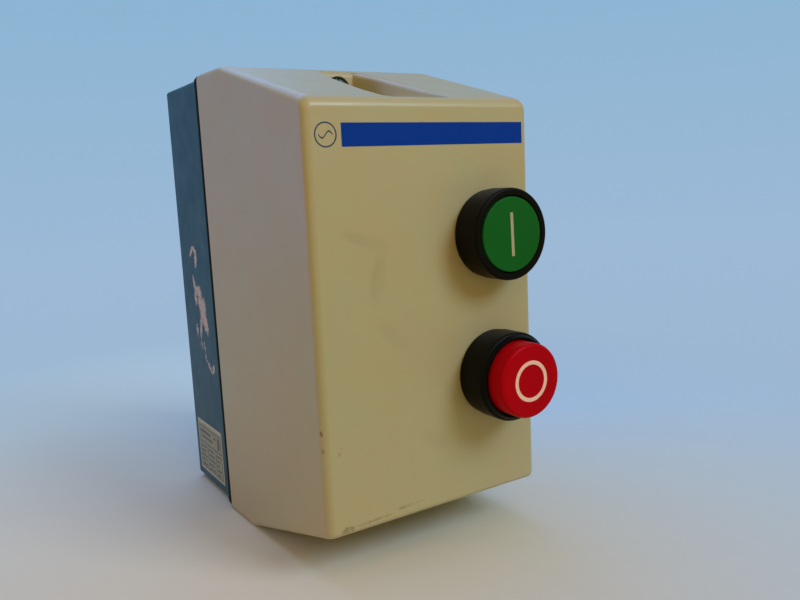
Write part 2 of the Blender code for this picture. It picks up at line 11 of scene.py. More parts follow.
import bmesh
import bpy
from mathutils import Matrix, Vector

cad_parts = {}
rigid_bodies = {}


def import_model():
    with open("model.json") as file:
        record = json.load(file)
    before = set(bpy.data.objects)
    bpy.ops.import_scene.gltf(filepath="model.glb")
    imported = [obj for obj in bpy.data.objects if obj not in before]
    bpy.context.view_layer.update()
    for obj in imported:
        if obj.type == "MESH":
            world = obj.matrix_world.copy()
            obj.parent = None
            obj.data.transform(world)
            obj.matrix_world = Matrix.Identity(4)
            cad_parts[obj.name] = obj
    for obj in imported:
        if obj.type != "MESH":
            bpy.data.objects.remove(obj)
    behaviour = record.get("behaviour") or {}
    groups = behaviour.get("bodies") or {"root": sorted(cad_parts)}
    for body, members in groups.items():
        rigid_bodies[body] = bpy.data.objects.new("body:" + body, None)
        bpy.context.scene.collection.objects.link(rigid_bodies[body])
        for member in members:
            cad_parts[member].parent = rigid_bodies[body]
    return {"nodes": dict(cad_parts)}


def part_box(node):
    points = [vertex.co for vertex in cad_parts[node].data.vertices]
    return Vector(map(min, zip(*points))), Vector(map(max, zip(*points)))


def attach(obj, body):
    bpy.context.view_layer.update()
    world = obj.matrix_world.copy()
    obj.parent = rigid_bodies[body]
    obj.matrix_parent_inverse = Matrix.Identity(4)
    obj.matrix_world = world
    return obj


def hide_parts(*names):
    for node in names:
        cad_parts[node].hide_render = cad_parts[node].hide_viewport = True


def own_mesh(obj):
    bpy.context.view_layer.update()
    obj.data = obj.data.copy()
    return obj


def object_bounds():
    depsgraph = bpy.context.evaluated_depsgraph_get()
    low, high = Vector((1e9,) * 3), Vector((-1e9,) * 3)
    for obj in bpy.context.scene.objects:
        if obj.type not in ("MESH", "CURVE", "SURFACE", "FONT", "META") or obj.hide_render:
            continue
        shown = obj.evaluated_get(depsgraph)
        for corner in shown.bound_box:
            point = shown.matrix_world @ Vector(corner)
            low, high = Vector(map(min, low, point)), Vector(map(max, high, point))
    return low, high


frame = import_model()
scene = bpy.context.scene
CAD_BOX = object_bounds()
MM = 0.001


def corners(node):
    """A node's lowest and highest corner in millimetres."""
    return [Vector(corner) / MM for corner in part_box(node)]


def middle(node):
    low, high = corners(node)
    return (low + high) / 2


def front_place(node):
    """Where a node's middle is, seen from the front, as (x, z)."""
    centre = middle(node)
    return centre.x, centre.z


def round_box(node):
    """Both corners, front place and radius of a node that is round about Y."""
    low, high = corners(node)
    return low, high, front_place(node), (high.x - low.x) / 2


# Enclosure, from the boxes of its two halves
COVER_LOW, COVER_HIGH = corners("cover")
BASE_HIGH = corners("base_housing")[1]
FRONT_Y = COVER_LOW.y
RIM_Y = COVER_HIGH.y
RIDGE_Y = FRONT_Y + 62
RIM_HALF = (COVER_HIGH.x, COVER_HIGH.z)
FRONT_HALF = (RIM_HALF[0] - 1.5, RIM_HALF[1] - 17)
FLANGE_HALF = (BASE_HIGH.x, BASE_HIGH.z)
WALL_HALF = (FLANGE_HALF[0] - 2.7, FLANGE_HALF[1] - 1.1)
TONGUE_HALF = (FLANGE_HALF[0] - 2.8, FLANGE_HALF[1] - 2.8)
FLANGE_Y = RIM_Y + 2.4
FLANGE_SKIN = 1.8
SEAM_BACK = FLANGE_Y + 0.5
COVER_SKIN = 2.4
BASE_SKIN = 2.5
BACK_SKIN = 3
FRONT_FILLET = 3
LOWER_FILLET = 1.5
REAR_CORNER = 2.6
LOWER_CORNER = 2
TONGUE_Y = FLANGE_Y - 5.8
SCREW_Z = middle("cover_screw_top").z
SCREWS_AT = [(0, SCREW_Z), (0, -SCREW_Z)]
PILLAR_FRONT = -56
SCREW_SEAT_Y = FRONT_Y + 59
POCKET_FLOOR = 69.5
POCKET_WALL = 2
POCKET_END = 56
POCKET_LEAN = 0.45
BASE_LEAN = 41.3  # the base's side leans out by 1 mm over this length
WALL_HOLES = [(x, z) for x in (-32, 32) for z in (-73, 73)]
KNOCKOUTS_X = (-20, 20)
KNOCKOUT_Y = -22

# Push buttons
PANEL_HOLE = 11.4
NECK_END = -117
NECK_RADIUS = 11
START_AT = front_place("start_cap")
STOP_AT = front_place("stop_cap")
BEZEL_LIPS = {"start": 0.0, "stop": 1.3}  # how far the inner lip stands ahead of the ring
STEM_ENDS = {"start": -112, "stop": -93}

# Printed layers: how proud each stands, and how deep it reaches into its face
CAP_PRINT = 0.06
PANEL_PRINT = 0.05
PRINT_ROOT = 0.02
PLATE_ROOT = 0.05
STRIPE = ((-31.3, 54.2), (40.9, 61.4))
SYMBOL_AT = (-36.7, 57.9)
LABEL = ((-4.2, -80.6), (-35, -57.6))  # two corners on the base's left side, as (y, z)
LABEL_SPLIT = -67.4

# Fittings inside
CONTACTOR_FACE = corners("contactor_front_housing")[0].y
RELAY_FACE = corners("relay_housing")[0].y
TAG_HEIGHTS = {"line": 42.2, "load": -3.2}
POLES = (1, 2, 3)
SPRING_WIRE = 0.5  # radius of the wire
MOST_THREAD = 14
THREAD_PITCH = 0.7
# Screws: depth of the head and radius of the shank
SCREWS = {
    "line": (2.9, 1.8),
    "load": (2.9, 1.8),
    "motor": (2.9, 1.8),
    "rail": (2.0, 1.6),
    "earth": (2.5, 1.9),
    "cover": (2.6, 2.0),
}


# ---- material nodes

class Nodes:
    """A node tree, with short calls for the nodes that repeat."""

    def __init__(self, owner):
        owner.use_nodes = True
        self.tree = owner.node_tree

    def add(self, kind, inputs=(), **settings):
        node = self.tree.nodes.new("ShaderNode" + kind)
        for key, value in settings.items():
            setattr(node, key, value)
        for key, value in dict(inputs).items():
            self.feed(node.inputs[key], value)
        return node

    def feed(self, socket, value):
        if isinstance(value, bpy.types.NodeSocket):
            self.tree.links.new(value, socket)
        else:
            socket.default_value = value

    def ranged(self, value, low, high, to_low=0.0, to_high=1.0):
        inputs = {"Value": value, "From Min": low, "From Max": high}
        inputs.update({"To Min": to_low, "To Max": to_high})
        return self.add("MapRange", inputs).outputs["Result"]

    def math(self, operation, first, second=0.0):
        return self.add("Math", {0: first, 1: second}, operation=operation).outputs[0]


class Surface(Nodes):
    """A material whose texture lies in the object's own coordinates."""

    def __init__(self, name, roughness, metallic=0.0):
        self.material = bpy.data.materials.new(name)
        super().__init__(self.material)
        self.shader = self.tree.nodes["Principled BSDF"]
        self.shader.inputs["Metallic"].default_value = metallic
        self.shader.inputs["Roughness"].default_value = roughness
        self.place = self.add("TexCoord").outputs["Object"]

    def noise(self, size, detail, stretch=(1, 1, 1), warp=0.0):
        """Noise whose lumps are about size millimetres across."""
        place = self.place
        if stretch != (1, 1, 1):
            place = self.add("Mapping", {"Vector": place, "Scale": stretch}).outputs[0]
        inputs = {"Vector": place, "Scale": 1 / (size * MM), "Detail": detail, "Distortion": warp}
        return self.add("TexNoise", inputs).outputs["Fac"]

    def mix(self, share, first, second):
        node = self.add("Mix", data_type="RGBA")
        self.feed(node.inputs[0], share)
        for socket, colour in ((node.inputs[6], first), (node.inputs[7], second)):
            self.feed(socket, colour if isinstance(colour, bpy.types.NodeSocket) else (*colour, 1))
        return node.outputs[2]

    def axis(self, index):
        return self.add("SeparateXYZ", {"Vector": self.place}).outputs[index]

    def patch(self, centre, half, turn):
        """1 inside an ellipsoid, fading to 0 at its surface."""
        inputs = {"Vector": self.place, "Location": Vector(centre) * MM, "Scale": Vector(half) * MM}
        inputs["Rotation"] = [math.radians(angle) for angle in turn]
        place = self.add("Mapping", inputs, vector_type="TEXTURE").outputs[0]
        return self.ranged(self.distance(place), 1, 0.5)

    def distance(self, place):
        """How far a place is from the origin."""
        return self.add("VectorMath", {0: place}, operation="LENGTH").outputs["Value"]

    def patches(self, places):
        """The strongest of several patches, each given as centre, half sizes, turn and strength."""
        total = 0.0
        for centre, half, turn, strength in places:
            spot = self.math("MULTIPLY", self.patch(centre, half, turn), strength)
            total = self.math("MAXIMUM", spot, total)
        return total

    def ragged(self, strength, noise, low, high, reach=0.4):
        """1 inside a patch, with an edge that follows the noise."""
        rough_edge = self.math("ADD", strength, self.ranged(noise, 0.3, 0.7, -reach, reach))
        solid = self.ranged(rough_edge, low, high)
        return self.math("MULTIPLY", solid, self.ranged(strength, 0, 0.1))

    def colour(self, value):
        self.feed(self.shader.inputs["Base Color"], value)

    def set_colour(self):
        """The socket that gives the colour so far."""
        return self.shader.inputs["Base Color"].links[0].from_socket

    def rough(self, value):
        self.feed(self.shader.inputs["Roughness"], value)

    def shine(self, level):
        self.shader.inputs["Specular IOR Level"].default_value = level

    def bump(self, height, depth):
        """Relief of about depth millimetres."""
        inputs = {"Height": height, "Distance": depth * MM, "Strength": 1.0}
        normal = self.add("Bump", inputs).outputs[0]
        self.feed(self.shader.inputs["Normal"], normal)


def shade(colour, factor):
    return tuple(channel * factor for channel in colour)


def moulded(name, colour, roughness, grain=0.012, size=0.5, shine=0.5):
    """Moulded plastic: fine grain, faint flow clouds and uneven gloss."""
    s = Surface(name, roughness)
    s.shine(shine)
    clouds = s.noise(22, 3, warp=0.6)
    fine = s.noise(size, 4)
    tone = s.mix(s.ranged(clouds, 0.3, 0.7), shade(colour, 0.93), shade(colour, 1.05))
    s.colour(s.mix(s.ranged(fine, 0.35, 0.7, 0, 0.5), tone, shade(colour, 0.9)))
    s.rough(s.ranged(s.noise(9, 3), 0.3, 0.7, roughness - 0.05, roughness + 0.06))
    s.bump(fine, grain)
    return s


# ---- materials

BEIGE = (0.495, 0.45, 0.258)
AGED_BEIGE = (0.50, 0.405, 0.225)
SLATE = (0.011, 0.075, 0.1)
BLACK = (0.002, 0.002, 0.002)
GREEN = (0.002, 0.118, 0.013)
RED = (0.46, 0.0005, 0.007)
SCUFFED = (0.66, 0.55, 0.50)
# Paler, greyer tone that the base takes towards the floor.
PALER_LOW_TONE = (0.13, 0.18, 0.19)
SHEET_STEEL = 0.65  # thickness of the magnet's sheets
ALONG_X = (0.15, 1, 1)  # brushing direction of a metal
ALONG_Z = (1, 1, 0.12)


def streak(axis, level, start, end, half_width, strength):
    """A rounded stroke on the face axis = level, between two points in the other two axes."""
    centre = [(a + b) / 2 for a, b in zip(start, end)]
    run, rise = end[0] - start[0], end[1] - start[1]
    half_length = math.hypot(run, rise) / 2 + half_width
    lean = math.degrees(math.atan2(run, rise))
    if axis == "x":
        return (level, *centre), (2, half_width, half_length), (-lean, 0, 0), strength
    return (centre[0], level, centre[1]), (half_width, 4, half_length), (0, lean, 0), strength


# Marks as strokes: start and end in a face, half width and strength
FRONT_LEFT, FRONT_FOOT = -FRONT_HALF[0], -FRONT_HALF[1]
SMUDGES = (
    ((-32, 27.5), (-17, 22.5), 2.6, 0.5),
    ((-19, 21), (-23, 4), 3.4, 0.45),
    ((-20, -3), (-12, -11), 3.5, 0.3),
    ((-6, -42), (2, -47), 3.5, 0.25),
    ((6, 40), (34, 44), 5, 0.2),
)
SMEARS = (
    ((FRONT_LEFT + 5, FRONT_FOOT + 1.6), (FRONT_LEFT + 9, FRONT_FOOT + 1.8), 1.6, 1.0),
    ((FRONT_LEFT + 8, FRONT_FOOT + 1.9), (FRONT_LEFT + 26, FRONT_FOOT + 2.6), 0.6, 0.8),
    ((FRONT_LEFT + 24, FRONT_FOOT + 3.4), (FRONT_LEFT + 38, FRONT_FOOT + 4), 0.7, 0.7),
    ((-38.6, -41.8), (-38.4, -41.2), 0.8, 0.7),
    ((-37.8, -40.2), (-37.6, -39.6), 0.6, 0.6),
)
# Nicks in the cover's left side, with the face's x first
NICKS = (
    (FRONT_LEFT + 0.6, (FRONT_Y + 1.6, -34.6), (FRONT_Y + 1.8, -33.4), 0.7, 0.9),
    (FRONT_LEFT + 0.6, (FRONT_Y + 1.4, -40.2), (FRONT_Y + 1.4, -39.2), 0.6, 0.6),
    (FRONT_LEFT, (FRONT_Y + 41, -38.8), (FRONT_Y + 42, -39.1), 0.5, 0.8),
)


def beige_plastic():
    """Aged cover plastic, with handling marks on the front and grime along its lower edge."""
    s = Surface("beige_moulded_plastic", 0.36)
    s.shine(0.6)
    fine = s.noise(0.45, 4)
    clouds = s.noise(30, 4, warp=0.8)
    yellow = s.mix(s.ranged(clouds, 0.35, 0.65), shade(BEIGE, 0.95), AGED_BEIGE)
    base = s.mix(s.ranged(fine, 0.35, 0.7, 0, 0.45), yellow, shade(BEIGE, 0.88))
    smudges = s.patches([streak("y", FRONT_Y, *mark) for mark in SMUDGES])
    worn = s.math("MULTIPLY", smudges, s.ranged(s.noise(7, 4, warp=0.8), 0.3, 0.7, 0.3, 1))
    smears = s.patches([streak("y", FRONT_Y, *mark) for mark in SMEARS])
    nicks = s.patches([streak("x", *mark) for mark in NICKS])
    grime = s.ragged(smears, s.noise(1.5, 4, warp=0.8), 0.3, 1.2)
    chips = s.ragged(nicks, s.noise(1.2, 4), 0.2, 1.1)
    tone = base
    for share, strength, colour in (
        (worn, 0.5, (0.24, 0.20, 0.13)),
        (grime, 0.6, (0.10, 0.10, 0.045)),
        (chips, 0.8, (0.09, 0.06, 0.03)),
    ):
        tone = s.mix(s.math("MULTIPLY", share, strength), tone, colour)
    s.colour(tone)
    s.rough(s.ranged(s.noise(12, 3), 0.3, 0.7, 0.33, 0.42))
    s.bump(fine, 0.012)
    return s


# Rubbed strokes on the base's left side, with their ends as (y, z)
SCUFFS = (
    ((-13.4, 15.6), (-17.2, 19.2), 1.2, 0.9),
    ((-17.6, 19.3), (-20.4, 17.6), 1.4, 1.0),
    ((-20.8, 17.4), (-20, 11.8), 2.0, 1.0),
    ((-15.3, 6.6), (-16.6, 0.5), 1.6, 0.9),
    ((-16.6, 0.5), (-16.6, -5), 1.9, 0.9),
    ((-17.5, 0.6), (-22.2, 1.6), 2.4, 1.0),
    ((-22.8, 1), (-21.3, -5), 3.0, 1.0),
    ((-25.4, -4.6), (-24.2, -9.8), 4.5, 1.0),
    ((-24.5, -9.5), (-28.4, -14.2), 3.6, 1.0),
    ((-21.5, -10.5), (-19.6, -17.9), 1.9, 0.9),
    ((-15.0, -14.2), (-15.3, -18.5), 1.4, 0.8),
    ((-19.2, -20.6), (-19.1, -24), 1.1, 0.55),
    ((-22.6, -20.8), (-23.2, -24.2), 1.1, 0.55),
    ((-23.2, -25), (-23.5, -28.8), 1.1, 0.5),
    ((-24.7, -28.4), (-30.6, -32.6), 1.5, 0.62),
    ((-31.0, -32.4), (-33, -29.6), 1.6, 0.9),
)


def slate_plastic():
    """Base plastic, paler and greyer towards the floor, with pale scuffs where its left side has
    rubbed.
    """
    s = moulded("slate_moulded_plastic", SLATE, 0.46, 0.016, 0.6, 0.22)
    side = -WALL_HALF[0] - 0.5
    strokes = s.patches([streak("x", side, *mark) for mark in SCUFFS])
    scuffs = s.ragged(strokes, s.noise(1.3, 6, (1, 1.5, 0.7), 1.4), 0.3, 0.62, 0.72)
    # Paler and greyer towards the floor, in soft clouds.
    paler_low = s.math("MULTIPLY", s.ranged(s.axis(2), 0.05, -0.06),
                  s.ranged(s.noise(14, 4), 0.3, 0.7, 0.13, 0.27))
    plain = s.mix(paler_low, s.set_colour(), PALER_LOW_TONE)
    flakes = s.ranged(s.noise(1.1, 4), 0.35, 0.65)
    rubbed = s.mix(flakes, shade(SCUFFED, 0.5), shade(SCUFFED, 1.25))
    s.colour(s.mix(scuffs, plain, rubbed))
    return s


def tinted_metal(name, colour, roughness, brush=(1, 1, 1)):
    """Plated or bare metal with fine streaks along the axis whose brush value is small."""
    s = Surface(name, roughness, 1.0)
    streaks = s.noise(0.35, 4, brush)
    spots = s.noise(4, 3)
    tone = s.mix(s.ranged(spots, 0.3, 0.7), shade(colour, 0.82), shade(colour, 1.05))
    s.colour(s.mix(s.ranged(streaks, 0.3, 0.7, 0, 0.5), tone, shade(colour, 0.78)))
    s.rough(s.ranged(s.noise(2.5, 4), 0.3, 0.7, roughness - 0.08, roughness + 0.1))
    s.bump(streaks, 0.01)
    return s


def laminated_steel():
    """A stack of thin steel sheets, side by side along X."""
    s = tinted_metal("laminated_steel", (0.33, 0.33, 0.35), 0.45)
    sheet = s.math("FRACT", s.math("MULTIPLY", s.axis(0), 1 / (SHEET_STEEL * MM)))
    line = s.math("GREATER_THAN", s.math("ABSOLUTE", s.math("SUBTRACT", sheet, 0.5)), 0.4)
    s.colour(s.mix(s.math("MULTIPLY", line, 0.8), s.set_colour(), (0.05, 0.035, 0.03)))
    s.bump(s.math("SUBTRACT", 1.0, line), 0.06)
    return s


def film(name, colour, roughness, shine=0.3):
    """Printed or foil surface: even, with faint mottling."""
    s = Surface(name, roughness)
    s.shine(shine)
    mottle = s.noise(0.8, 4)
    s.colour(s.mix(s.ranged(mottle, 0.3, 0.7), shade(colour, 0.94), shade(colour, 1.04)))
    s.rough(s.ranged(s.noise(3, 3), 0.3, 0.7, roughness - 0.05, roughness + 0.08))
    s.bump(mottle, 0.003)
    return s


MATERIALS = {
    "beige_plastic": beige_plastic(),
    "slate_plastic": slate_plastic(),
    "black_plastic": moulded("black_moulded_plastic", BLACK, 0.4, 0.012, 0.5, 0.1),
    # Black seal rubber, partly painted shade: it also darkens the seam between cover and base.
    "seal_rubber": moulded("black_seal_rubber", (0.006, 0.006, 0.006), 0.75, 0.02, 0.4, 0.06),
    "green_plastic": moulded("green_moulded_plastic", GREEN, 0.5, 0.014, 0.7, 0.15),
    "red_plastic": moulded("red_moulded_plastic", RED, 0.36, 0.008, 0.6, 0.05),
    "blue_plastic": moulded("blue_moulded_plastic", (0.01, 0.08, 0.42), 0.35),
    "grey_plastic": moulded("dark_grey_moulded_plastic", (0.045, 0.048, 0.052), 0.5),
    "white_nylon": moulded("natural_white_nylon", (0.66, 0.63, 0.55), 0.42, 0.008),
    "zinc_steel": tinted_metal("zinc_plated_steel", (0.62, 0.61, 0.57), 0.32, ALONG_X),
    "magnet_steel": laminated_steel(),
    "brass": tinted_metal("brass_strip", (0.72, 0.52, 0.22), 0.33, ALONG_Z),
    "copper": tinted_metal("copper_strip", (0.66, 0.33, 0.2), 0.34, ALONG_Z),
    "winding_enamel": tinted_metal("enamelled_winding_wire", (0.42, 0.12, 0.04), 0.28),
}
# Zinc for the cover screws, darkened with painted shade: the screws sit deep in their pockets.
ZINC_WITH_PAINTED_SHADE = tinted_metal("dark_zinc_steel", (0.10, 0.15, 0.16), 0.42)
SILVER = tinted_metal("silver_contact_face", (0.82, 0.80, 0.76), 0.3)
CREAM_INK = film("cream_ink", (0.70, 0.62, 0.37), 0.4)
BAR_INK = film("worn_cream_ink", (0.44, 0.40, 0.25), 0.45)
PALE_INK = film("pale_pink_ink", (0.95, 0.60, 0.50), 0.4)
BLUE_INK = film("blue_ink", (0.0, 0.04, 0.34), 0.4, 0.1)
MARK_INK = film("dark_blue_ink", (0.015, 0.05, 0.12), 0.4)
LABEL_EDGE = film("pale_label_foil", (0.50, 0.50, 0.34), 0.38)
LABEL_FOIL = film("grey_label_foil", (0.33, 0.33, 0.205), 0.38)
LABEL_INK = film("dark_label_ink", (0.11, 0.11, 0.075), 0.4)


# ---- shapes

def object_of(mesh, name, at=(0, 0, 0)):
    bmesh.ops.recalc_face_normals(mesh, faces=mesh.faces)
    data = bpy.data.meshes.new(name)
    mesh.to_mesh(data)
    mesh.free()
    made = bpy.data.objects.new(name, data)
    made.location = Vector(at) * MM
    scene.collection.objects.link(made)
    return made


def loft(name, rings, at=(0, 0, 0), closed=False):
    """A solid through rings of equally many points, capped unless its last ring meets the first."""
    mesh = bmesh.new()
    loops = [[mesh.verts.new(Vector(point) * MM) for point in ring] for ring in rings]
    for first, second in zip(loops, loops[1:] + (loops[:1] if closed else [])):
        for i in range(len(first)):
            j = (i + 1) % len(first)
            mesh.faces.new((first[i], first[j], second[j], second[i]))
    if not closed:
        mesh.faces.new(loops[0])
        mesh.faces.new(loops[-1])
    return object_of(mesh, name, at)


def rounded_ring(y, half_width, half_height, radius, low_radius=None, lift=0):
    """A rounded rectangle in the plane y, centred at z = lift, as points."""
    points = []
    low_radius = radius if low_radius is None else low_radius
    steps = 8
    for turn, (sx, sz) in enumerate(((1, 1), (-1, 1), (-1, -1), (1, -1))):
        bend = radius if sz > 0 else low_radius
        for step in range(steps + 1):
            angle = math.radians(90 * (turn + step / steps))
            x = sx * (half_width - bend) + bend * math.cos(angle)
            z = lift + sz * (half_height - bend) + bend * math.sin(angle)
            points.append((x, y, z))
    return points


def inset_ring(y, half, inset, radius):
    """A rounded rectangle, smaller all round than a pair of half sizes."""
    return rounded_ring(y, half[0] - inset, half[1] - inset, radius)


def circle(y, radius, steps):
    angles = [math.tau * i / steps for i in range(steps)]
    return [(radius * math.cos(a), y, radius * math.sin(a)) for a in angles]


def turned(name, profile, at, steps=96, hollow=False):
    """A piece turned about the Y line through at=(x, z). Its profile is (radius, y) points."""
    rings = [circle(y, radius, steps) for radius, y in profile]
    return loft(name, rings, (at[0], 0, at[1]), hollow)


def prism(name, outline, axis, start, end):
    """An outline in the other two axes, in x, y, z order, extruded along axis."""
    def ring(level):
        return [(*point[:axis], level, *point[axis:]) for point in outline]
    return loft(name, (ring(start), ring(end)))


def bore(at, radius, start, end, steps=48):
    return turned("bore", ((radius, start), (radius, end)), at, steps)


def rectangle(first, last):
    """The four corners of a rectangle between two opposite ones."""
    return ((first[0], first[1]), (last[0], first[1]), (last[0], last[1]), (first[0], last[1]))


def box(name, low, high):
    return prism(name, rectangle(low, high), 2, low[2], high[2])


def groove(low, high, face, depth):
    """A cutter that sinks a rectangle between two (x, z) corners into a front face."""
    return box("groove", (low[0], face - 1, low[1]), (high[0], face + depth, high[1]))


def nose(radius, front, edge, steps, start=-90):
    """The rounded front edge of a turned piece, as (radius, y) points."""
    angles = [math.radians(start - start * i / steps) for i in range(steps + 1)]
    return [(radius - edge + edge * math.cos(a), front + edge + edge * math.sin(a)) for a in angles]


def combine(target, operation, others):
    """Applies a Boolean with each of the others, which are then removed."""
    for other in others:
        step = target.modifiers.new(other.name, "BOOLEAN")
        step.operation = operation
        step.solver = "EXACT"
        step.object = other
    graph = bpy.context.evaluated_depsgraph_get()
    result = bpy.data.meshes.new_from_object(target.evaluated_get(graph))
    target.modifiers.clear()
    target.data = result
    for other in others:
        bpy.data.objects.remove(other)


def soften(target, width, least_angle=40, segments=2):
    """Rounds each edge that is sharper than least_angle."""
    mesh = bmesh.new()
    mesh.from_mesh(target.data)
    bmesh.ops.remove_doubles(mesh, verts=mesh.verts, dist=0.01 * MM)
    bmesh.ops.dissolve_limit(
        mesh, angle_limit=math.radians(0.5), verts=mesh.verts, edges=mesh.edges, delimit=set()
    )
    limit = math.radians(least_angle)
    edges = [e for e in mesh.edges if len(e.link_faces) == 2 and e.calc_face_angle() > limit]
    bmesh.ops.bevel(
        mesh, geom=edges, offset=width * MM, segments=segments, profile=0.5,
        affect="EDGES", clamp_overlap=True, miter_outer="ARC",
    )
    bmesh.ops.recalc_face_normals(mesh, faces=mesh.faces)
    mesh.to_mesh(target.data)
    mesh.free()


def show(piece, body, surface, smooth=35):
    """Shades a piece, gives it its material and hangs it on its body."""
    piece.data.materials.clear()
    piece.data.materials.append(surface.material)
    for face in piece.data.polygons:
        face.material_index = 0
    piece.data.shade_smooth()
    piece.data.set_sharp_from_angle(angle=math.radians(smooth))
    piece.modifiers.new("weighted_normals", "WEIGHTED_NORMAL").keep_sharp = True
    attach(piece, body)


def stand_in(piece, node, smooth=35, surface=None):
    """Shows a piece in place of a CAD node, with the node's body and the material of its slot."""
    source = frame["nodes"][node]
    body = source.parent.name.split(":")[1]
    slot = source.material_slots[0].material.name.split(".")[0]
    show(piece, body, surface or MATERIALS[slot], smooth)
    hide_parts(node)


# ---- cover

def cover_half(y):
    """Half width and half height of the cover's outside at y, with a rounded ridge."""
    along = (y - FRONT_Y) / (RIM_Y - FRONT_Y)
    slope = (RIM_HALF[1] - FRONT_HALF[1]) / (RIDGE_Y - FRONT_Y)
    soft = 1.2
    ahead = RIDGE_Y - y
    if ahead > soft:
        drop = slope * ahead
    elif ahead > -soft:
        drop = slope * (ahead + soft) ** 2 / (4 * soft)
    else:
        drop = 0
    return FRONT_HALF[0] + (RIM_HALF[0] - FRONT_HALF[0]) * along, RIM_HALF[1] - drop


def quarter_turns(steps):
    return [math.radians(90 * step / steps) for step in range(steps + 1)]


def fillet_inset(depth, radius):
    """How far a rounded edge lies inside the corner, at a depth behind the front."""
    rest = max(0, radius - depth)
    return radius - math.sqrt(radius ** 2 - rest ** 2)


def fillet_ring(depth):
    """The cover's outline within its rounded front edge, which is tighter along the bottom."""
    half_width, half_height = cover_half(FRONT_Y + depth)
    side = fillet_inset(depth, FRONT_FILLET)
    low = fillet_inset(depth, LOWER_FILLET)
    height = half_height - (side + low) / 2
    corner = FRONT_FILLET + 0.8 - side
    low_corner = LOWER_CORNER - low * 0.8
    lift = (low - side) / 2
    return rounded_ring(FRONT_Y + depth, half_width - side, height, corner, low_corner, lift)


def smooth_line(points, steps=4):
    """A Catmull-Rom curve through points, ends included."""
    padded = [Vector(point) for point in (points[0], *points, points[-1])]
    curve = []
    for a, b, c, d in zip(padded, padded[1:], padded[2:], padded[3:]):
        for i in range(steps):
            t = i / steps
            linear = (c - a) * t
            square = (2 * a - 5 * b + 4 * c - d) * t * t
            cube = (3 * b - a - 3 * c + d) * t ** 3
            curve.append(tuple((2 * b + linear + square + cube) / 2))
    return curve + [tuple(points[-1])]


def pocket_outline(grow, first, last):
    """Plan of a screw pocket as (x, y), narrowing to the wall that the screw sits in."""
    right = (
        (9, first), (12, first + 1.2), (13, first + 4), (12.4, 19), (10.4, 39), (9, 47),
        (6.4, last),
    )
    right = smooth_line([(x + grow, FRONT_Y + depth) for x, depth in right])
    return right + [(-x, y) for x, y in reversed(right)]


def pocket_shell(side):
    outline = pocket_outline(POCKET_WALL, 1.2, 62)
    lower = [(x, y, side * (POCKET_FLOOR - POCKET_WALL)) for x, y in outline]
    upper = [(x, y, side * (cover_half(y)[1] - COVER_SKIN / 2)) for x, y in outline]
    return loft("pocket_shell", (lower, upper))


def pocket_cutter(side):
    """The hollow of a screw pocket: leaning walls that curve into the floor and over the rim."""
    plan = pocket_outline(0, 2, POCKET_END)
    outward = []
    for i in range(len(plan)):
        along = (Vector(plan[(i + 1) % len(plan)]) - Vector(plan[i - 1])).normalized()
        outward.append(Vector((along.y, -along.x)))
    if (outward[0].x < 0) == (plan[0][0] > 0):
        outward = [-direction for direction in outward]

    def ring(place, turn):
        points = []
        for (x, y), direction in zip(plan, outward):
            depth = max(0.3, cover_half(y)[1] - POCKET_FLOOR)
            reach, level = place(depth, turn)
            from_end = min(1, max(0, (POCKET_END - 8 - (y - FRONT_Y)) / 14))
            below_rim = max(0, POCKET_FLOOR + depth - level)
            reach -= POCKET_LEAN * below_rim * from_end * abs(direction.x)
            points.append((x + direction.x * reach, y + direction.y * reach, side * level))
        return points

    def on_floor(depth, turn):
        radius = min(4, 0.55 * depth)
        return radius * (math.sin(turn) - 1), POCKET_FLOOR + radius * (1 - math.cos(turn))

    def over_rim(depth, turn):
        radius = min(1.6, 0.4 * depth)
        return radius * (1 - math.cos(turn)), POCKET_FLOOR + depth - radius * (1 - math.sin(turn))

    rings = [ring(place, turn) for place in (on_floor, over_rim) for turn in quarter_turns(6)]
    rings.append([(x, y, z + 6 * side) for x, y, z in rings[-1]])
    return loft("pocket_cutter", rings)


def make_cover():
    rings = [fillet_ring(FRONT_FILLET * (1 - math.cos(turn))) for turn in quarter_turns(10)]
    for y in [RIDGE_Y + step for step in (-1.2, -0.6, 0, 0.6, 1.2)] + [RIM_Y - 0.3]:
        rings.append(rounded_ring(y, *cover_half(y), REAR_CORNER, LOWER_CORNER))
    rings.append(inset_ring(RIM_Y, cover_half(RIM_Y), 0.3, REAR_CORNER))
    for y in (RIM_Y, RIDGE_Y + 2, RIDGE_Y - 2, FRONT_Y + COVER_SKIN):
        rings.append(inset_ring(y, cover_half(y), COVER_SKIN, 1.2))
    cover = loft("cover_shell", rings)
    combine(cover, "UNION", [pocket_shell(side) for side in (1, -1)])
    cutters = [bore(at, PANEL_HOLE, FRONT_Y - 1, FRONT_Y + 5) for at in (START_AT, STOP_AT)]
    for side, at in zip((1, -1), SCREWS_AT):
        cutters += [
            pocket_cutter(side),
            bore(at, 5.2, FRONT_Y + POCKET_END - 1, SCREW_SEAT_Y),
            bore(at, 2.5, SCREW_SEAT_Y - 1, RIDGE_Y),
        ]
    combine(cover, "DIFFERENCE", cutters)
    soften(cover, 0.35, segments=3)
    stand_in(cover, "cover")


# ---- base

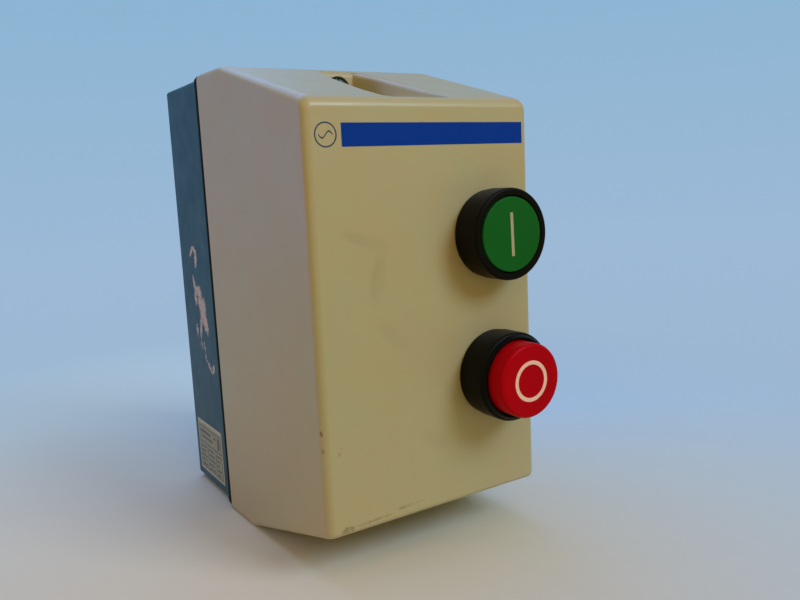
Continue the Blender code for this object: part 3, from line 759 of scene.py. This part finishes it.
def make_base():
    wall_x, wall_z = WALL_HALF
    lip = FLANGE_Y + FLANGE_SKIN
    rings = [inset_ring(*row) for row in (
        (0, WALL_HALF, 0.5, 0.9),
        (-0.15, WALL_HALF, 0.15, 1.3),
        (-0.5, WALL_HALF, 0, 1.4),
        (lip + 0.6, (wall_x + 1, wall_z + 0.4), 0, 2),
        (lip + 0.15, (wall_x + 1.15, wall_z + 0.5), 0, 2),
        (lip, (wall_x + 1.6, wall_z + 0.7), 0, 2.2),
        (lip, FLANGE_HALF, 0.3, REAR_CORNER),
        (lip - 0.3, FLANGE_HALF, 0, REAR_CORNER),
        (SEAM_BACK + 0.25, FLANGE_HALF, 0, REAR_CORNER),
        (SEAM_BACK, FLANGE_HALF, 0.25, REAR_CORNER),
        (SEAM_BACK, TONGUE_HALF, 0, 1.6),
        (TONGUE_Y + 0.4, TONGUE_HALF, 0, 1.6),
        (TONGUE_Y, TONGUE_HALF, 0.4, 1.4),
        (TONGUE_Y, TONGUE_HALF, 1.8, 1),
        (-BACK_SKIN, WALL_HALF, BASE_SKIN, 1),
    )]
    base = loft("base_shell", rings)
    profile = ((5, -BACK_SKIN + 1), (5, PILLAR_FRONT + 0.4), (4.6, PILLAR_FRONT))
    combine(base, "UNION", [turned("pillar", profile, at, 48) for at in SCREWS_AT])
    cutters = [bore(at, 2.5, PILLAR_FRONT - 1, -20) for at in SCREWS_AT]
    cutters += [bore(at, 2.6, -BACK_SKIN - 1, 1) for at in WALL_HOLES]
    cutters += [bore((x, middle("mounting_rail").z), 2, -BACK_SKIN - 1, -0.8) for x in (3, 28)]
    cutters += [knockout_groove(x, side, wall_z + 0.3) for x in KNOCKOUTS_X for side in (-1, 1)]
    cutters += back_recesses()
    combine(base, "DIFFERENCE", cutters)
    soften(base, 0.25, 50)
    stand_in(base, "base_housing")


def back_recesses():
    """Shallow moulded marks on the face against the wall."""
    depth = 0.5
    cutters = [box("panel", (-26, -depth, z), (26, 1, z + 34)) for z in (-58, -17, 24)]
    cutters += [bore(at, 4.2, -depth, 1) for at in WALL_HOLES]
    cutters += [bore((x, z), 3, -0.3, 1, 32) for x in (-34, 34) for z in (-48, 0, 48)]
    return cutters


def knockout_groove(x, side, wall):
    """A ring-shaped cutter that leaves a cable knockout's disc standing in the wall."""
    rings = []
    for radius, depth in ((10.5, 3), (9.7, 3), (9.7, -0.9), (10.5, -0.9)):
        level = side * (wall + depth)
        rings.append([(point[0], point[2], level) for point in circle(0, radius, 48)])
    return loft("knockout_groove", rings, (x, KNOCKOUT_Y, 0), closed=True)


def make_gasket():
    """The seal between the two halves, with a ridge along its outer side. Its black outer band is
    flush with the flange and is partly painted shade: it also stands for the shadow in the seam
    between cover and base.
    """
    front = corners("seal_gasket")[0].y
    rings = [inset_ring(*row) for row in (
        (SEAM_BACK, FLANGE_HALF, 0.35, 2),
        (SEAM_BACK - 0.3, FLANGE_HALF, 0.05, 2),
        (front + 0.3, FLANGE_HALF, 0.05, 2),
        (front, FLANGE_HALF, 0.35, 2),
        (front, TONGUE_HALF, -0.4, 1.6),
        (SEAM_BACK, TONGUE_HALF, -0.4, 1.6),
    )]
    stand_in(loft("rubber_seal", rings, closed=True), "seal_gasket")


# ---- push buttons

def make_bezel(name, at):
    """Outer ring, threaded neck and the bore that the cap slides in."""
    low, _, _, radius = round_box(f"{name}_bezel")
    bore_radius = round_box(f"{name}_cap")[3] + 0.35
    seat = FRONT_Y - 0.3
    profile = [(bore_radius, low.y + 0.35), (bore_radius + 0.3, low.y), (bore_radius + 0.9, low.y)]
    profile += nose(radius, low.y + BEZEL_LIPS[name], 0.9, 6, -80)
    profile += [(radius, seat - 3.4), (radius - 0.4, seat - 3.1), (radius - 0.4, seat - 0.2)]
    profile += [(radius - 0.6, seat), (NECK_RADIUS, seat)]
    y = seat + 1.5
    while y < NECK_END - 1:
        profile += [(NECK_RADIUS, y), (NECK_RADIUS - 0.45, y + 0.5), (NECK_RADIUS, y + 1)]
        y += 1.5
    profile += [(NECK_RADIUS, NECK_END - 0.2), (NECK_RADIUS - 0.2, NECK_END), (6.8, NECK_END)]
    profile += [(6.8, NECK_END - 1.5), (9.2, NECK_END - 1.5), (9.2, FRONT_Y - 1.6)]
    profile += [(bore_radius, FRONT_Y - 1.6)]
    ring = turned(f"{name}_bezel_ring", profile, at, hollow=True)
    stand_in(ring, f"{name}_bezel", 30)


def make_cap(name, at, edge):
    """Button cap with a rounded edge and a flat face."""
    low, high, _, radius = round_box(f"{name}_cap")
    profile = [(radius * 0.5, low.y)] + nose(radius, low.y, edge, 8)
    profile += [(radius, high.y - 0.3), (radius - 0.3, high.y)]
    cap = turned(f"{name}_button_cap", profile, at)
    stand_in(cap, f"{name}_cap")


def make_plunger(name, at):
    """A head behind the cap and a stem; the stop button's ends in a foot over the relay."""
    low, high = corners(f"{name}_plunger")
    front, end = low.y, STEM_ENDS[name]
    profile = [(8.3, front), (8.7, front + 0.4), (8.7, front + 1.3), (8.4, front + 1.6)]
    profile += [(6.2, front + 1.6), (6.2, end - 0.5), (5.7, end)]
    plunger = turned(f"{name}_plunger_stem", profile, at, 64)
    if name == "stop":
        foot = box("foot", (at[0] - 5, high.y - 2.9, -44), (at[0] + 5, high.y, -20))
        combine(plunger, "UNION", [foot])
        soften(plunger, 0.3, 50)
    stand_in(plunger, f"{name}_plunger")


def make_nut(name, at):
    """Hexagonal panel nut with chamfered corners."""
    low, high = corners(f"{name}_nut")
    nut = turned(f"{name}_panel_nut", ((14.8, low.y), (14.8, high.y)), at, 6)
    chamfer = (13.2, low.y - 0.1), (14.9, low.y + 0.9), (14.9, high.y - 0.9), (13.2, high.y + 0.1)
    combine(nut, "INTERSECT", [turned("crown", chamfer, at)])
    combine(nut, "DIFFERENCE", [bore(at, 11.6, low.y - 1, high.y + 1, 64)])
    soften(nut, 0.25, 25)
    stand_in(nut, f"{name}_nut")


def make_spring(node, turns):
    """A coil spring with closed ends."""
    low, high, at, radius = round_box(node)
    radius -= SPRING_WIRE
    start, end = low.y + SPRING_WIRE, high.y - SPRING_WIRE
    steps, sides = 28, 10
    closed = 0.7
    around = [math.tau * k / sides for k in range(sides)]
    rings = []
    for i in range(round(turns * steps) + 1):
        angle = math.tau * i / steps
        share = min(1, max(0, (i / steps - closed) / (turns - 2 * closed)))
        outward = Vector((math.cos(angle), 0, math.sin(angle)))
        place = radius * outward + Vector((0, start + (end - start) * share, 0))
        rings.append([
            place + SPRING_WIRE * (math.cos(a) * outward + math.sin(a) * Vector((0, 1, 0)))
            for a in around
        ])
    coil = loft(f"{node}_coil", rings, (at[0], 0, at[1]))
    stand_in(coil, node, 60)
    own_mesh(coil)


def layer(name, outline, y, thickness, at=(0, 0), root=PRINT_ROOT):
    """A thin sheet on a face that looks forwards, standing proud of it by its thickness."""
    return prism(name, [(at[0] + x, at[1] + z) for x, z in outline], 1, y - thickness, y + root)


def ring_layer(name, outer, inner, y, thickness, at):
    front, back = y - thickness, y + PRINT_ROOT
    profile = ((outer, back), (outer, front), (inner, front), (inner, back))
    return turned(name, profile, at, hollow=True)


def make_buttons():
    for name, at, edge in (("start", START_AT, 0.5), ("stop", STOP_AT, 1.3)):
        make_bezel(name, at)
        make_cap(name, at, edge)
        make_plunger(name, at)
        make_nut(name, at)
    bar = ((-0.4, -7.3), (0.8, -7.3), (0.4, 7.3), (-0.8, 7.3))
    start_face = corners("start_cap")[0].y
    stop_face = corners("stop_cap")[0].y
    show(layer("start_mark", bar, start_face, CAP_PRINT, START_AT), "start_button", BAR_INK)
    show(ring_layer("stop_mark", 7.05, 5.7, stop_face, CAP_PRINT, STOP_AT), "stop_button", PALE_INK)


# ---- printed marks

def make_front_print():
    """Blue stripe across the top of the front, and a plain alternating-current symbol."""
    body = "cover_assembly"
    show(layer("front_stripe", rectangle(*STRIPE), FRONT_Y, PANEL_PRINT), body, BLUE_INK)
    ring = ring_layer("front_symbol_ring", 3.8, 3.4, FRONT_Y, PANEL_PRINT, SYMBOL_AT)
    show(ring, body, MARK_INK)
    half_length, half_line, steps = 2.4, 0.24, 24
    wave = [2 * half_length * i / steps - half_length for i in range(steps + 1)]
    wave = [(x, math.sin(math.pi * x / half_length)) for x in wave]
    outline = [(x, z + half_line) for x, z in wave] + [(x, z - half_line) for x, z in reversed(wave)]
    show(layer("front_symbol_wave", outline, FRONT_Y, PANEL_PRINT, SYMBOL_AT), body, MARK_INK)


def joined(name, pieces):
    """One piece made of several, which are then removed."""
    mesh = bmesh.new()
    for piece in pieces:
        piece.data.transform(piece.matrix_basis)
        mesh.from_mesh(piece.data)
        bpy.data.objects.remove(piece)
    return object_of(mesh, name)


def side_layer(name, first, last, thickness):
    """A rectangle between two (y, z) corners on the base's left side, which leans outwards."""
    def ring(proud):
        return [(-WALL_HALF[0] + y / BASE_LEAN - proud, y, z) for y, z in rectangle(first, last)]
    return loft(name, (ring(-0.05), ring(thickness)))


def make_rating_label():
    """A foil label with ruled boxes and rows of plain bars where its print would be."""
    (back, low), (front, high) = LABEL
    show(side_layer("rating_label", *LABEL, 0.1), "root", LABEL_EDGE)
    panel = side_layer("rating_label_panel", (back - 1.1, low + 1.2), (front + 1.1, high - 1.5), 0.14)
    show(panel, "root", LABEL_FOIL)
    bars = [((back - 1.4, z), (front + 1.4, z - 0.4)) for z in (high - 2.6, LABEL_SPLIT)]
    bars.append(((back - 1.4, low + 1.6), (front + 1.4, low + 1.2)))
    bars.append(((back - 1.4, low + 1.2), (back - 1.8, high - 2.6)))
    bars.append(((front + 1.8, low + 1.2), (front + 1.4, high - 2.6)))
    bars += [((y, low + 1.6), (y - 0.4, LABEL_SPLIT)) for y in (-15.5, -26.0)]
    bars += [
        ((-7, -61.8), (-20.5, -63.2)),
        ((-8.5, -64.4), (-22.5, -65.4)),
        ((-29, -61.4), (-31.6, -66.4)),
        ((-24.2, -62), (-27, -63)),
    ]
    for row in range(5):
        z = LABEL_SPLIT - 1.8 - 2.1 * row
        columns = (-6.6, 7.4 - row % 2), (-17, 6.2 + row % 3 * 0.8), (-27.2, 4.6 - row % 3)
        bars += [((start, z), (start - length, z - 0.75)) for start, length in columns]
    printed = [side_layer("bar", first, last, 0.18) for first, last in bars]
    show(joined("rating_label_bars", printed), "root", LABEL_INK)


# ---- inside

def refined(node, width, cutters=()):
    """The node's own solid in one skin, with the cutters taken away and its edges rounded."""
    source = frame["nodes"][node]
    mesh = bmesh.new()
    mesh.from_mesh(source.data)
    mesh.transform(source.matrix_world)
    bmesh.ops.remove_doubles(mesh, verts=mesh.verts, dist=0.01 * MM)
    piece = object_of(mesh, f"{node}_shell")
    if cutters:
        combine(piece, "DIFFERENCE", cutters)
    soften(piece, width)
    stand_in(piece, node)


def make_screw(node, surface=None):
    """A pan-head screw with a threaded shank, and a long slot across a short one."""
    low, high, at, radius = round_box(node)
    depth, shank = SCREWS[node.split("_")[0]]
    under = low.y + depth
    profile = nose(radius, low.y, 1.1, 5)
    profile += [(radius, under - 0.3), (radius - 0.25, under), (shank, under)]
    y = max(under + 0.4, high.y - MOST_THREAD)
    while y < high.y - 2 * THREAD_PITCH:
        profile += [(shank, y), (shank - 0.32, y + THREAD_PITCH / 2)]
        y += THREAD_PITCH
    profile += [(shank, y), (shank * 0.6, high.y)]
    screw = turned(f"{node}_threaded", profile, at, 40)
    x, z = at
    short = radius * 0.58
    long = radius + 1
    combine(screw, "DIFFERENCE", [
        groove((x - 0.5, z - long), (x + 0.5, z + long), low.y, 0.9),
        groove((x - short, z - 0.45), (x + short, z + 0.45), low.y, 1.1),
    ])
    stand_in(screw, node, 30, surface)


def make_screws():
    # The cover screws take the zinc darkened with painted shade.
    for end in ("top", "bottom"):
        make_screw(f"cover_screw_{end}", ZINC_WITH_PAINTED_SHADE)
    for node in ("rail_screw_left", "rail_screw_right", "earth_screw"):
        make_screw(node)
    for kind in ("line", "load", "motor"):
        for pole in POLES:
            make_screw(f"{kind}_screw_{pole}")


def make_springs():
    make_spring("start_spring", 5.5)
    make_spring("stop_spring", 5.5)
    make_spring("return_spring", 4.5)


def make_winding():
    """Wire laid side by side round the bobbin, as rings with a ripple for each turn."""
    low, high = corners("coil_winding")
    centre = middle("coil_winding")
    wide, tall = (high.x - low.x) / 2, (high.z - low.z) / 2
    turns = 20
    dips = (0.18, 0.05, 0, 0.05)
    pitch = (high.y - low.y) / turns
    rings = []
    for turn in range(turns):
        for step, dip in enumerate(dips):
            y = low.y + pitch * (turn + step / len(dips))
            rings.append(rounded_ring(y, wide - dip, tall - dip, 2.5))
    rings.append(rounded_ring(high.y, wide - dips[0], tall - dips[0], 2.5))
    rings += [rounded_ring(y, 9.3, 7.3, 0.8) for y in (high.y, low.y)]
    winding = loft("coil_winding_turns", rings, (centre.x, 0, centre.z), closed=True)
    stand_in(winding, "coil_winding")


def make_turned_controls():
    """The relay's buttons and the start block's plunger."""
    for name in ("relay_stop_button", "relay_reset_button", "start_block_plunger"):
        low, high, at, radius = round_box(name)
        profile = nose(radius, low.y, 0.7, 6) + [(radius, high.y - 0.4), (radius - 0.4, high.y)]
        button = turned(f"{name}_turned", profile, at, 64)
        stand_in(button, name)


def make_dial():
    """Current dial with a notched edge and a slot, in a ring of printed scale marks."""
    low, high, at, radius = round_box("current_dial")
    dial = turned("current_dial_face", nose(radius, low.y, 0.6, 5) + [(radius, high.y)], at, 72)
    x, z = at
    cutters = [groove((x - 0.6, z - 4), (x + 0.6, z + 5), low.y, 1.2)]
    for nx, _, nz in circle(0, radius, 24):
        cutters.append(bore((x + nx, z + nz), 0.32, low.y - 1, high.y + 1, 8))
    combine(dial, "DIFFERENCE", cutters)
    stand_in(dial, "current_dial")
    marks = []
    for n in range(13):
        angle = math.radians(225 - 22.5 * n)
        along = Vector((math.cos(angle), math.sin(angle)))
        across = Vector((-along.y, along.x)) * 0.16
        near, far = along * (radius + 1.2), along * (radius + (2.6 if n % 3 == 0 else 2.0))
        outline = (near - across, far - across, far + across, near + across)
        marks.append(layer("mark", outline, RELAY_FACE, PANEL_PRINT, at))
    show(joined("current_dial_scale", marks), "root", CREAM_INK)


def name_plate(name, low, high, face):
    """A pale plate on a front face, with rows of plain bars where its print would be."""
    show(layer(name, rectangle(low, high), face, 0.1, root=PLATE_ROOT), "root", LABEL_EDGE)
    bars = []
    z = high[1] - 1.1
    while z - 0.7 > low[1] + 0.4:
        end = high[0] - 1.2 - 2.4 * (len(bars) % 3)
        bars.append(box("bar", (low[0] + 1.2, face - 0.14, z - 0.7), (end, face - 0.05, z)))
        z -= 1.6
    show(joined(f"{name}_bars", bars), "root", LABEL_INK)


def make_housings():
    """Contactor, relay and start block, with grooves and plates on what shows."""
    low, high = corners("contactor_front_housing")
    left, right = low.x, high.x
    sides = ((left, 1), (right, -1))
    seams = [
        box("seam", (x - 1.6 * side, CONTACTOR_FACE - 1, z - 0.25), (x + 0.4 * side, -50.9, z + 0.25))
        for x, side in sides for z in (-5.6, 44.6)
    ]
    ledges = [
        groove((left - 1, z - 0.3), (right + 1, z + 0.3), CONTACTOR_FACE, 0.5) for z in (8.5, 30.5)
    ]
    refined("contactor_front_housing", 0.4, seams + ledges)
    ribs = [
        box("rib", (x - 1.5 * side, y - 0.5, -20), (x + 0.5 * side, y + 0.5, 59))
        for x, side in sides for y in (-22, -29, -36, -43)
    ]
    refined("contactor_rear_housing", 0.5, ribs)
    name_plate("contactor_plate", (-5, 32), (11.5, 40), CONTACTOR_FACE)
    for pole, x in zip(POLES, (3, 15.5, 28)):
        for end, z in TAG_HEIGHTS.items():
            outline = rectangle((x - 2.2, z - 1), (x + 2.2, z + 1))
            tag = layer(f"{end}_tag_{pole}", outline, CONTACTOR_FACE, 0.1, root=PLATE_ROOT)
            show(tag, "root", CREAM_INK)
    refined("relay_housing", 0.4, [
        groove((left - 1, -48.3), (right + 1, -47.7), RELAY_FACE, 0.5),
        groove((16.3, -47.7), (16.8, -20), RELAY_FACE, 0.5),
    ])
    name_plate("relay_plate", (-4.5, -53), (35, -49.2), RELAY_FACE)
    x, z = front_place("start_block_housing")
    face = corners("start_block_housing")[0].y
    refined("start_block_housing", 0.4, [
        groove((x - 13, z + rise - 0.3), (x + 13, z + rise + 0.3), face, 0.5) for rise in (-12, 12)
    ])


def make_contact_tips():
    """Silver discs where the bridges meet the line and load strips."""
    low, high = corners("contact_bridge_1")
    strip_face = corners("line_terminal_1")[0].y
    poles = [middle(f"line_terminal_{pole}").x for pole in POLES]
    places = [(x, z) for x in poles for z in (low.z + 3, high.z - 3)]
    for name, face, side, body in (
        ("bridge_tips", high.y, 1, "contactor_carriage"),
        ("strip_tips", strip_face, -1, "root"),
    ):
        levels = (face - 0.02 * side, face + 0.2 * side, face + 0.3 * side)
        profile = tuple(zip((1.9, 1.9, 1.6), levels))
        discs = [turned("disc", profile, at, 32) for at in places]
        show(joined(name, discs), body, SILVER)


def make_small_pieces():
    """The pieces that need only their edges rounded, and the contact carrier."""
    grooves = [box("groove", (-4, -81, z - 0.4), (35, -79.4, z + 0.4)) for z in (14, 25)]
    refined("contact_carrier", 0.35, grooves)
    strips = ("line_terminal", "load_terminal", "relay_prong", "contact_bridge")
    for width, nodes in (
        (0.12, ["mounting_rail"] + [f"bimetal_strip_{pole}" for pole in POLES]),
        (0.15, [f"{kind}_{pole}" for kind in strips for pole in POLES]),
        (0.25, ["fixed_core", "armature", "start_block_bridge", "coil_bobbin"]),
        (0.35, ["earth_terminal", "trip_bar"]),
    ):
        for node in nodes:
            refined(node, width)


# ---- stage

SKY = ((-0.35, (0.335, 0.465, 0.62)), (-0.08, (0.335, 0.485, 0.67)), (0.25, (0.255, 0.46, 0.65)))
FILL = (1.0, 0.85, 0.32)
FILL_STRENGTH = 0.345
FLOOR_FRONT_RIGHT = ((0.74, 0.64, 0.49), (0.78, 0.68, 0.53))
# The left-hand colours are lighter than the right: painted light that lifts the shadow the object
# casts on the left of the floor.
FLOOR_FRONT_LEFT = (0.85, 0.75, 0.58)
FLOOR_BACK_RIGHT = (0.54, 0.76, 0.98)
FLOOR_BACK_LEFT = (0.79, 1.0, 1.0)
CAMERA_AT = (-0.1502, -0.3426, 0.0443)
CAMERA_TURN = (81.15, 2.68, -33.25)  # degrees
CAMERA_LENS = 35.5
LIGHTS_AIM = (0, -0.075, 0)
# Area lights: place and size in metres, watts, colour
LIGHTS = {
    "key": ((0.4, -1.0, 0.65), (0.5, 0.4), 6.4, (0.56, 0.78, 1.0)),
    "near": ((-0.24, -0.5, 0.14), (0.25, 0.25), 0.2, (1.0, 0.5, 0.25)),
    "high": ((0.05, -0.7, 0.9), (0.6, 0.5), 1.35, (1.0, 0.62, 0.33)),
    "overhead": ((0.1, 0.1, 0.95), (0.9, 0.9), 1.9, (0.05, 0.15, 1.0)),
    "over_back": ((0.0, 0.6, 0.8), (0.8, 0.6), 2.8, (0.2, 0.46, 1.0)),
    "left_back": ((-0.8, 0.6, 0.22), (0.7, 0.6), 2.0, (0.05, 0.18, 1.0)),
    "left_low": ((-0.9, 0.3, -0.04), (0.5, 0.08), 0.27, (1.0, 0.1, 0.02)),
}


def make_floor():
    """Pale floor, warm in front and blue behind, with painted light on its left half, which fades
    into the world's colour.
    """
    mesh = bmesh.new()
    bmesh.ops.create_circle(mesh, cap_ends=True, segments=96, radius=1.6)
    floor = object_of(mesh, "floor")
    floor.location = (0, 0, CAD_BOX[0].z - 0.0001)
    s = Surface("pale_floor", 0.75)
    s.shine(0.15)
    x, y = s.axis(0), s.axis(1)
    away = s.math("ADD", s.math("MULTIPLY", x, 0.548), s.math("MULTIPLY", y, 0.836))
    across = s.math("ADD", s.math("MULTIPLY", x, 0.836), s.math("MULTIPLY", y, -0.548))
    mottled = s.mix(s.noise(6, 4), *FLOOR_FRONT_RIGHT)
    right = s.mix(s.ranged(away, -0.16, 0.06), mottled, FLOOR_BACK_RIGHT)
    # The left half is lighter: painted light over the object's shadow there.
    left = s.mix(s.ranged(away, -0.14, 0.06), FLOOR_FRONT_LEFT, FLOOR_BACK_LEFT)
    s.colour(s.mix(s.ranged(across, -0.16, 0.16), left, right))
    fade = s.ranged(s.distance(s.place), 0.12, 0.34)
    clear = s.add("BsdfTransparent").outputs[0]
    blend = s.add("MixShader", {0: fade, 1: s.shader.outputs[0], 2: clear})
    s.feed(s.tree.nodes["Material Output"].inputs["Surface"], blend.outputs[0])
    floor.data.materials.append(s.material)


def make_world():
    """A pale blue sweep, dimmer and warmer light from all round, and both in reflections."""
    world = bpy.data.worlds.new("studio")
    scene.world = world
    sky = Nodes(world)
    place = sky.add("TexCoord").outputs["Generated"]
    direction = sky.add("SeparateXYZ", {0: place}).outputs
    lowest, highest = SKY[0][0], SKY[-1][0]
    ramp = sky.add("ValToRGB", {0: sky.ranged(direction[2], lowest, highest)})
    ends = ramp.color_ramp.elements
    ends[0].color = (*SKY[0][1], 1)
    ends[1].color = (*SKY[-1][1], 1)
    for height, colour in SKY[1:-1]:
        ends.new((height - lowest) / (highest - lowest)).color = (*colour, 1)
    fill = sky.tree.nodes["Background"]
    fill.inputs["Color"].default_value = (*FILL, 1)
    fill.inputs["Strength"].default_value = FILL_STRENGTH
    sweep = sky.add("Background", {"Color": ramp.outputs[0]})
    path = sky.add("LightPath").outputs
    mirrored = sky.math("MULTIPLY", path["Is Glossy Ray"], sky.ranged(direction[1], -0.1, 0.5))
    direct = sky.math("MAXIMUM", path["Is Camera Ray"], mirrored)
    choose = sky.add("MixShader", {0: direct, 1: fill.outputs[0], 2: sweep.outputs[0]})
    sky.feed(sky.tree.nodes["World Output"].inputs["Surface"], choose.outputs[0])


def make_lights():
    for name, (place, size, power, colour) in LIGHTS.items():
        data = bpy.data.lights.new(name, "AREA")
        data.shape = "RECTANGLE"
        data.size, data.size_y = size
        data.energy = power
        data.color = colour
        light = bpy.data.objects.new(name, data)
        light.location = place
        aim = Vector(LIGHTS_AIM) - light.location
        light.rotation_euler = aim.to_track_quat("-Z", "Y").to_euler()
        scene.collection.objects.link(light)


def make_camera():
    data = bpy.data.cameras.new("camera")
    data.sensor_width = 36
    data.lens = CAMERA_LENS
    camera = bpy.data.objects.new("camera", data)
    camera.location = CAMERA_AT
    camera.rotation_euler = [math.radians(angle) for angle in CAMERA_TURN]
    scene.collection.objects.link(camera)
    bpy.context.scene.camera = camera


def dress_frame():
    """Gives the CAD's own nodes the same materials as the pieces in their place."""
    for node in frame["nodes"].values():
        for place in node.material_slots:
            place.material = MATERIALS[place.material.name.split(".")[0]].material


make_camera()
make_cover()
make_base()
make_gasket()
make_buttons()
make_front_print()
make_rating_label()
make_screws()
make_springs()
make_winding()
make_turned_controls()
make_dial()
make_housings()
make_contact_tips()
make_small_pieces()
dress_frame()
make_floor()
make_world()
make_lights()
scene.view_settings.view_transform = "Standard"
